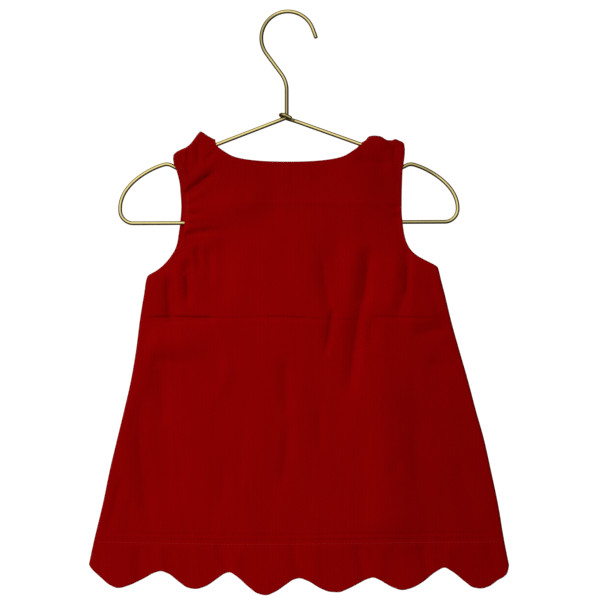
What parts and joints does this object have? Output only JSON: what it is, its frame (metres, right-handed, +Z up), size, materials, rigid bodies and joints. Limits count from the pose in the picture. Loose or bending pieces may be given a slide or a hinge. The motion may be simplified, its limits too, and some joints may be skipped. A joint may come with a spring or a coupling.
{
  "type": "corduroy dress on a wire hanger",
  "caption": "Child's sleeveless A-line corduroy dress with a scalloped hem and shoulder straps that button over, hanging on a bent brass-coloured wire hanger.",
  "frame": {"origin": "inside top of the hanger's hook, where a rail carries it", "axes": "+Z up, +X to the right of the shown side, -Y towards the viewer of the shown side, which is the garment's back; the flat dress lies in the XZ plane"},
  "size_m": [0.3702, 0.0248, 0.5147],
  "materials": {
    "corduroy": "deep red needlecord with a short, soft nap",
    "button": "red, semi-matte",
    "wire": "satin, brass-coloured"
  },
  "bodies": {
    "root": {"back_panel": "corduroy", "front_panel": "corduroy", "button_left": "button", "button_right": "button", "hanger": "wire"}
  },
  "joints": []
}
